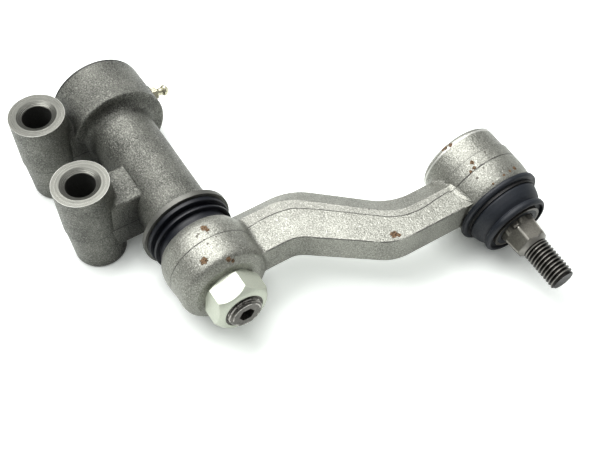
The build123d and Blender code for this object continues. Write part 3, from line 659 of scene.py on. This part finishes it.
def make_shaft_steel():
    """Dark steel, with painted highlights on the thread's crests and on the edges of its end."""
    material, tree, shader, place = new_material("shaft steel", (0.12, 0.115, 0.1), 0.85, 0.34)
    colour, grain = grain_colour(tree, place, (0.060, 0.058, 0.052), (0.22, 0.21, 0.19), 1700.0, 0.5)
    away = pivot_radius(tree, place)
    crest_glint = ramp(tree, away, 8.4 * MM, 8.8 * MM)
    rim_highlight = times(tree, ramp(tree, away, 7.0 * MM, 7.3 * MM), ramp(tree, away, 7.9 * MM, 7.6 * MM))
    patches = ramp(tree, noise(tree, place, 420.0), 0.40, 0.60)
    # Painted highlights on the crests and the end's edge, broken into patches
    glints_mask = times(tree, maths(tree, "MAXIMUM", crest_glint, rim_highlight), patches)
    colour = blend_colour(tree, glints_mask, colour, (0.62, 0.60, 0.56))
    tree.links.new(ramp(tree, grain.outputs["Cloud"], 0.0, 1.0, 0.26, 0.42), shader.inputs["Roughness"])
    paint(tree, shader, colour, grain.outputs["Height"], 0.04)
    return material


CAST_IRON = make_cast_iron()
FORGED_ARM = make_forged_arm()
FORGED = grained("forged steel", FORGED_DARK, FORGED_LIGHT, metallic=FORGED_METALLIC,
                 roughness=FORGED_ROUGHNESS, scale=FORGED_GRAIN, depth=0.2)
BOSS_FACE = turned_metal("faced boss", boss_radius, (0.105, 0.106, 0.094), (0.215, 0.216, 0.192),
                         metallic=0.8, roughness=0.32, glint_edge=14.8)
FLANGE_FACE = turned_metal("turned flange", pivot_radius, (0.12, 0.12, 0.108), (0.26, 0.26, 0.236),
                           metallic=0.75, roughness=0.38)
CAP_FACE = turned_metal("pressed cap", pivot_radius, (0.05, 0.05, 0.046), (0.11, 0.11, 0.10),
                        metallic=0.7, roughness=0.4, pitch=1.1)
MACHINED = grained("machined steel", (0.36, 0.355, 0.33), (0.55, 0.545, 0.51),
                   metallic=0.6, roughness=0.38, scale=3000.0, depth=0.03)
BORE = grained("bored iron", (0.035, 0.035, 0.032), (0.09, 0.09, 0.083),
               metallic=0.3, roughness=0.5, scale=1800.0, depth=0.03)
DARK_STEEL = grained("dark steel", (0.040, 0.038, 0.034), (0.165, 0.156, 0.138),
                     metallic=0.75, roughness=0.34, scale=1700.0, depth=0.08)
ZINC = grained("zinc plate", (0.58, 0.62, 0.52), (0.72, 0.76, 0.64),
               metallic=0.5, roughness=0.42, scale=1800.0, depth=0.02)
YELLOW_ZINC = grained("yellow zinc", (0.50, 0.48, 0.34), (0.82, 0.79, 0.60),
                      metallic=0.85, roughness=0.25, scale=2600.0, depth=0.02)
# A black wire clip, darkened further so that it stands as painted shade in its groove
CLIP_WIRE_AS_SHADE = grained("clip wire", (0.012, 0.012, 0.012), (0.03, 0.03, 0.03),
                    metallic=0.5, roughness=0.5, scale=2600.0, depth=0.02)
SEAT_PLASTIC = grained("seat plastic", (0.68, 0.66, 0.60), (0.78, 0.76, 0.70),
                       metallic=0.0, roughness=0.4, scale=1500.0, depth=0.02)
BRONZE = grained("bush bronze", (0.42, 0.30, 0.16), (0.55, 0.41, 0.23),
                 metallic=0.9, roughness=0.35, scale=2200.0, depth=0.02)
STUD_STEEL = make_stud_steel()
SHAFT_STEEL = make_shaft_steel()
SEAL_RUBBER = make_seal_rubber()
BOOT_RUBBER = make_boot_rubber()

# Materials of the solids that stay as they are
LOOKS = {
    "pivot_bracket": CAST_IRON, "end_cap": CAP_FACE, "thrust_spring": DARK_STEEL,
    "pressure_pad": MACHINED, "head_bush": BRONZE, "flange_bush": BRONZE, "thrust_washer": BRONZE,
    "grease_nipple": YELLOW_ZINC, "nipple_ball": MACHINED, "idler_arm": FORGED_ARM,
    "nut_insert": DARK_STEEL, "shaft_seal": SEAL_RUBBER, "socket_plug": FORGED,
    "seat_spring": DARK_STEEL, "ball_seat": SEAT_PLASTIC, "pressure_seat": SEAT_PLASTIC,
    "boot_clip": CLIP_WIRE_AS_SHADE, "boot_collar_ring": DARK_STEEL,
}
for name, material in LOOKS.items():
    mesh = nodes[name].data
    mesh.materials.clear()
    mesh.materials.append(material)

# Machined faces of the bracket: boss tops and mouths, bolt holes, flange and head's rim, each found with
# a little slack
BOSS_MOUTH_R, BOSS_MOUTH_DEPTH = 10.6, 1.5
BOSS_HOLE_R = 7.75
FLANGE_BACK = 102.8
BARREL_R = 18.0
TOP_SLACK, HOLE_SLACK, FLANGE_SLACK, RIM_SLACK = 0.05, 0.2, 0.1, 0.4
BOSS_SLOT, BORE_SLOT, FLANGE_SLOT = 1, 2, 3
bracket = nodes["pivot_bracket"].data
for material in (BOSS_FACE, BORE, FLANGE_FACE):
    bracket.materials.append(material)
for face in bracket.polygons:
    c = face.center / MM
    boss_r = min(math.hypot(c.x - side * BOSS_X, c.y) for side in (-1, 1))
    along = c.x - HEAD_RIM.x
    pivot_r = math.hypot(c.y - HEAD_RIM.y, c.z - HEAD_RIM.z)
    on_mouth = boss_r < BOSS_MOUTH_R and c.z > -BOSS_MOUTH_DEPTH
    on_flange = along > FLANGE_BACK + FLANGE_SLACK and pivot_r > BARREL_R
    if c.z > -TOP_SLACK or on_mouth:
        face.material_index = BOSS_SLOT
    elif boss_r < BOSS_HOLE_R + HOLE_SLACK:
        face.material_index = BORE_SLOT
    elif on_flange or along < RIM_SLACK:
        face.material_index = FLANGE_SLOT


# Threads, cut into plain turned bodies by one geometry tree

THREAD_STEP = 0.11
THREAD_CREASE = 40
THREAD_BEVEL = 1.1
CREST_CUT = 0.02
# Where the groove's flank starts at the crest and ends at the root, and the turns of its run-in
FLANK_TOP, FLANK_FOOT = 0.86, 0.14
RUN_IN_TURNS = 0.6
# How near two places on an outline's axis count as one
SAME_PLACE = 0.01


def scaled(tree, vector, factor):
    """Vector multiplied by a number or a socket."""
    return put(tree, "ShaderNodeVectorMath", {"operation": "SCALE"}, i0=vector, Scale=factor).outputs[0]


def make_thread_tree():
    """Moves the points of a turned body inwards along a helix between two places on its axis."""
    tree, inp, out = new_group(
        "Rolled thread",
        [("Geometry", "NodeSocketGeometry", None), ("Origin", "NodeSocketVector", None),
         ("Along", "NodeSocketVector", None), ("Aside", "NodeSocketVector", None),
         ("Up", "NodeSocketVector", None), ("Start", "NodeSocketFloat", 0.0),
         ("End", "NodeSocketFloat", 0.02), ("Inner", "NodeSocketFloat", 0.004),
         ("Pitch", "NodeSocketFloat", 0.002), ("Depth", "NodeSocketFloat", 0.001),
         ("Material", "NodeSocketMaterial", None)],
        [("Geometry", "NodeSocketGeometry")], "GeometryNodeTree")
    i = inp.outputs
    place = tree.nodes.new("GeometryNodeInputPosition").outputs[0]
    away = vector_maths(tree, "SUBTRACT", place, i["Origin"])
    along = vector_maths(tree, "DOT_PRODUCT", away, i["Along"], output="Value")
    outwards = vector_maths(tree, "SUBTRACT", away, scaled(tree, i["Along"], along))
    radius = vector_maths(tree, "LENGTH", outwards, output="Value")
    # Groove depth from how far the helix has turned here
    aside = vector_maths(tree, "DOT_PRODUCT", outwards, i["Aside"], output="Value")
    up = vector_maths(tree, "DOT_PRODUCT", outwards, i["Up"], output="Value")
    turned_share = maths(tree, "DIVIDE", maths(tree, "ARCTAN2", up, aside), 2 * math.pi)
    turns = maths(tree, "SUBTRACT", maths(tree, "DIVIDE", along, i["Pitch"]), turned_share)
    saw = maths(tree, "FRACT", turns)
    ridge = maths(tree, "ABSOLUTE", maths(tree, "MULTIPLY_ADD", saw, 2.0, -1.0))
    groove = put(tree, "ShaderNodeMapRange", Value=ridge, From_Min=FLANK_TOP,
                 From_Max=FLANK_FOOT).outputs[0]
    full_depth_at = maths(tree, "ADD", i["Start"], times(tree, i["Pitch"], RUN_IN_TURNS))
    run_in = put(tree, "ShaderNodeMapRange", Value=along, From_Min=i["Start"],
                 From_Max=full_depth_at).outputs[0]
    root = maths(tree, "MAXIMUM", maths(tree, "SUBTRACT", radius, i["Inner"]), 0.0)
    cut = maths(tree, "MINIMUM", times(tree, groove, i["Depth"], run_in), root)
    # The points between start and end move by that depth
    inwards = scaled(tree, vector_maths(tree, "NORMALIZE", outwards), times(tree, cut, -1.0))
    inside = times(tree, maths(tree, "GREATER_THAN", along, i["Start"]),
                   maths(tree, "LESS_THAN", along, i["End"]))
    moved = put(tree, "GeometryNodeSetPosition", Geometry=i["Geometry"], Selection=inside, Offset=inwards)
    real = put(tree, "GeometryNodeRealizeInstances", Geometry=moved.outputs[0])
    done = put(tree, "GeometryNodeSetMaterial", Geometry=real.outputs[0], Material=i["Material"])
    tree.links.new(done.outputs[0], out.inputs[0])
    return tree


THREAD = make_thread_tree()


def cut_thread(obj, frame, material, **sizes):
    """Runs the thread tree on a piece and keeps the plain mesh that it gives; sizes in millimetres."""
    modifier = obj.modifiers.new("thread", "NODES")
    modifier.node_group = THREAD
    values = {"Origin": frame.translation * MM, "Along": frame.col[0].xyz, "Aside": frame.col[1].xyz,
              "Up": frame.col[2].xyz, "Material": material}
    values.update({label: value * MM for label, value in sizes.items()})
    for item in THREAD.interface.items_tree:
        if item.item_type == "SOCKET" and item.in_out == "INPUT" and item.name in values:
            modifier[item.identifier] = values[item.name]
    view = bpy.context.evaluated_depsgraph_get()
    mesh = bpy.data.meshes.new_from_object(obj.evaluated_get(view))
    obj.modifiers.clear()
    obj.data = mesh
    sharpen(mesh, THREAD_CREASE)


def thread_blank(start, end, radius):
    """Points of a plain cylinder, close enough together for a thread."""
    count = max(2, round((end - start) / THREAD_STEP) + 1)
    return [(s, radius) for s in np.linspace(start, end, count)]


def hexagon(across, turn, angle):
    """Radius of a hexagon at this angle, its first corner at `turn`."""
    from_corner = (angle - turn) % (math.pi / 3)
    return across / 2 / math.cos(from_corner - math.pi / 6)


# Ball stud: ball, neck, round taper, tapered hexagon, relief and rolled thread
BALL_R, NECK_R = 13.0, 7.6
HEX_ACROSS, HEX_TURN = 18.2, math.radians(58.0)
EASED_START, EASED_R, EASED_RATE = 38, 10.35, 0.055
STUD_THREAD_START, STUD_END, STUD_THREAD_R = 48.8, 70.5, 7.0
STUD_PITCH, STUD_GROOVE, STUD_ROOT_R = 2.0, 1.05, 5.9


def shank_radius(along, radius, angle):
    """Round until the hexagon starts, then the hexagon with its corners eased."""
    if along < HEX_START + SAME_PLACE or along > HEX_END + SAME_PLACE:
        return radius
    return min(radius, hexagon(HEX_ACROSS - (along - HEX_START) * TAPER_RATE, HEX_TURN, angle))


stud_outline = [(-10.6, 0.0), (-10.6, 7.5)]
ball_angles = np.radians(np.linspace(-54, 53.5, 28))
stud_outline += [(BALL_R * math.sin(a), BALL_R * math.cos(a)) for a in ball_angles]
stud_outline += [(10.7, NECK_R), (26.5, NECK_R), (28.2, 8.9), (29.5, 9.8), (HEX_START, 9.39)]
stud_outline += [(HEX_START + 0.3, 9.75), (HEX_START + 0.7, 10.2), (HEX_START + 1.0, 10.5)]
eased_places = np.linspace(EASED_START, HEX_END - 0.9, 5)
stud_outline += [(s, EASED_R - (s - EASED_START) * EASED_RATE) for s in eased_places]
stud_outline += [(HEX_END - 0.45, 9.1), (HEX_END, 8.45), (47.1, 7.3), (48.2, 6.45)]
stud_outline += thread_blank(STUD_THREAD_START, STUD_END - THREAD_BEVEL, STUD_THREAD_R - CREST_CUT)
stud_outline += [(STUD_END - 0.8, 6.75), (STUD_END - 0.4, 6.3), (STUD_END, 5.85), (STUD_END, 3.0)]
stud_outline += [(STUD_END, 0.0)]
stud = turned("threaded_stud", BALL_FRAME, stud_outline, STUD_STEEL, around=120, crease=28,
              change=shank_radius, first=math.radians(1.0))
cut_thread(stud, BALL_FRAME, STUD_STEEL, Start=STUD_THREAD_START, End=STUD_END + 0.1, Inner=STUD_ROOT_R,
           Pitch=STUD_PITCH, Depth=STUD_GROOVE)
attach(stud, "stud")
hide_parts("ball_stud")

# Pivot shaft: shoulder, journals, cone and a threaded end with a hexagon recess
JOURNAL_R, RELIEF_R, SHAFT_THREAD_R = 10.96, 10.3, 9.0
SHAFT_THREAD_START, SHAFT_END = 144.1, 166.0
SHAFT_PITCH, SHAFT_GROOVE, SHAFT_ROOT_R = 1.5, 0.8, 7.9
KEY_ACROSS, KEY_BOTTOM, KEY_LIMIT_R = 7.4, 161.0, 5.0


def key_radius(along, radius, angle):
    """The recess is a hexagon, the rest is round."""
    if along >= KEY_BOTTOM - SAME_PLACE and radius < KEY_LIMIT_R:
        return hexagon(KEY_ACROSS, 0.0, angle)
    return radius


shaft_outline = [
    (9.0, 0.0), (9.0, 9.0), (17.4, 9.0), (17.4, 18.0), (22.4, 18.0), (22.4, JOURNAL_R), (50.0, JOURNAL_R),
    (51.0, RELIEF_R), (74.5, RELIEF_R), (75.5, JOURNAL_R), (112.0, JOURNAL_R), (144.0, 9.5)]
shaft_outline += thread_blank(SHAFT_THREAD_START, SHAFT_END - THREAD_BEVEL, SHAFT_THREAD_R - CREST_CUT)
shaft_outline += [(SHAFT_END - 0.8, 8.7), (SHAFT_END - 0.4, 8.3), (SHAFT_END, 7.85), (SHAFT_END, 5.6)]
shaft_outline += [(SHAFT_END, 4.3), (KEY_BOTTOM, 4.3), (KEY_BOTTOM - 0.02, 0.0)]
shaft = turned("threaded_shaft", PIVOT_FRAME, shaft_outline, SHAFT_STEEL, around=96, crease=28,
               change=key_radius)
cut_thread(shaft, PIVOT_FRAME, SHAFT_STEEL, Start=SHAFT_THREAD_START, End=SHAFT_END + 0.1,
           Inner=SHAFT_ROOT_R, Pitch=SHAFT_PITCH, Depth=SHAFT_GROOVE)
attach(shaft, "arm")
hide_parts("pivot_shaft")

# Lock nut: the flats run up into a domed crown, which holds the insert
NUT_ACROSS, NUT_TURN = 27.0, math.radians(18.0)
NUT_START, NUT_END, NUT_CORNER_R = 148.6, 163.4, 15.58
NUT_BORE_R, INSERT_R, INSERT_DEPTH = 9.1, 10.4, 3.0
INSERT_START = NUT_END - INSERT_DEPTH


def nut_radius(along, radius, angle):
    """The hexagon cuts the turned outline."""
    return min(radius, hexagon(NUT_ACROSS, NUT_TURN, angle))


nut_outline = [
    (NUT_START, NUT_BORE_R), (NUT_START, 13.5), (NUT_START + 0.8, 13.7), (NUT_START + 2.0, NUT_CORNER_R),
    (159.6, NUT_CORNER_R), (160.7, 14.9), (161.6, 14.2), (162.3, 13.45), (162.9, 12.5), (163.25, 11.6),
    (NUT_END, 10.7), (NUT_END, INSERT_R), (INSERT_START, INSERT_R), (INSERT_START, NUT_BORE_R),
    (NUT_START, NUT_BORE_R)]
nut_outline = resample(nut_outline, 0.2)[:-1]
nut = turned("domed_nut", PIVOT_FRAME, nut_outline, ZINC, around=240, crease=30, change=nut_radius,
             closed=True)
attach(nut, "arm")
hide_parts("lock_nut")

# Dust boot: bead, clip groove, body, neck and a collar with an open mouth round the sleeve
BOOT_CORNERS = (
    (16.6, 19.52), (16.6, 23.2), (17.2, 23.7), (18.8, 23.7), (19.4, 23.1), (19.7, 20.2), (21.5, 20.2),
    (22.3, 20.6), (25.5, 19.6), (27.6, 18.6), (28.8, 17.6), (29.6, 16.9), (30.3, 18.5), (32.4, 18.6),
    (33.4, 17.6), (33.4, 16.8), (31.2, 16.4), (31.2, 12.5), (33.4, 12.5), (33.4, 9.85), (29.5, 9.85),
    (29.5, 15.2), (26.0, 17.8), (21.5, 18.7), (20.62, 18.8), (20.62, 19.52), (16.6, 19.52))
boot_outline = resample(rounded(BOOT_CORNERS, 0.5), 0.35)[:-1]
boot = turned("rubber_boot", BALL_FRAME, boot_outline, BOOT_RUBBER, around=112, crease=55, closed=True)
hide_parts("dust_boot")
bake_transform(boot)

# Floor
FLOOR_REACH = 4.0
FLOOR_COLOUR, FLOOR_GLOW = (0.90, 0.925, 0.905), (0.95, 1.0, 0.955)
FLOOR_LIFT, SHADOW_LIFT = 0.50, 0.03
SHADOW_REACH, SHADOW_DEEP, SHADOW_GONE = 0.02, 0.25, 0.95
MIRRORED_LIFT = 0.12


def make_floor_paper():
    """Pale paper, lifted to white for the camera and a little for mirrors, less so close to the object,
    which paints a contact shadow there.
    """
    material, tree, shader = new_material("floor paper", FLOOR_COLOUR, 0.0, 0.6)[:3]
    paths = tree.nodes.new("ShaderNodeLightPath").outputs
    seen = maths(tree, "MULTIPLY_ADD", paths["Is Glossy Ray"], MIRRORED_LIFT, paths["Is Camera Ray"])
    near = put(tree, "ShaderNodeAmbientOcclusion", {"samples": 3}, Distance=SHADOW_REACH)
    # Painted contact shadow: the lift falls off where the floor is closed in
    lift = ramp(tree, near.outputs["AO"], SHADOW_DEEP, SHADOW_GONE, SHADOW_LIFT, FLOOR_LIFT)
    shader.inputs["Emission Color"].default_value = (*FLOOR_GLOW, 1)
    tree.links.new(times(tree, seen, lift), shader.inputs["Emission Strength"])
    return material


floor_corners = [(x * FLOOR_REACH, y * FLOOR_REACH, FLOOR_Z * MM)
                 for x, y in ((-1, -1), (1, -1), (1, 1), (-1, 1))]
floor_mesh = bpy.data.meshes.new("floor")
floor_mesh.from_pydata(floor_corners, [], [(0, 1, 2, 3)])
floor_mesh.materials.append(make_floor_paper())
floor = bpy.data.objects.new("floor", floor_mesh)
bpy.context.scene.collection.objects.link(floor)

# Lights
LIT_MIDDLE = Vector((0.07, 0.09, -0.03))


def add_softbox(name, place, size, power):
    """Rectangular light that faces the object."""
    light = bpy.data.lights.new(name, "AREA")
    light.shape = "RECTANGLE"
    light.size, light.size_y = size
    light.energy = power
    obj = bpy.data.objects.new(name, light)
    obj.location = place
    obj.rotation_euler = (LIT_MIDDLE - Vector(place)).to_track_quat("-Z", "Y").to_euler()
    bpy.context.scene.collection.objects.link(obj)


add_softbox("main softbox", place=(-0.45, -0.04, 1.22), size=(1.7, 0.8), power=28.0)
add_softbox("overhead", place=(0.1, 0.1, 1.4), size=(1.6, 1.6), power=5.0)

# World: white for the camera, also through glass, and softer as light and in reflections
WORLD_WHITE, WORLD_LIT = 1.0, 0.25
world = bpy.data.worlds.new("studio")
bpy.context.scene.world = world
world.use_nodes = True
tree = world.node_tree
tree.nodes.clear()
paths = tree.nodes.new("ShaderNodeLightPath").outputs
seen = maths(tree, "MAXIMUM", paths["Is Camera Ray"], paths["Is Transmission Ray"])
lit = put(tree, "ShaderNodeBackground", Color=(1, 1, 1, 1), Strength=WORLD_LIT)
white = put(tree, "ShaderNodeBackground", Color=(1, 1, 1, 1), Strength=WORLD_WHITE)
both = put(tree, "ShaderNodeMixShader", i0=seen, i1=lit.outputs[0], i2=white.outputs[0])
end = tree.nodes.new("ShaderNodeOutputWorld")
tree.links.new(both.outputs[0], end.inputs[0])

# Camera
camera = bpy.data.cameras.new("camera")
camera.sensor_width = 36.0
camera.lens = CAMERA_LENS
camera.clip_start = 0.01
camera_object = bpy.data.objects.new("camera", camera)
turn = Matrix((CAMERA_RIGHT, -CAMERA_DOWN, -CAMERA_AHEAD)).transposed().to_4x4()
turn.translation = CAMERA_PLACE * MM
camera_object.matrix_world = turn
bpy.context.scene.collection.objects.link(camera_object)
bpy.context.scene.camera = camera_object

bpy.context.scene.view_settings.view_transform = "Standard"
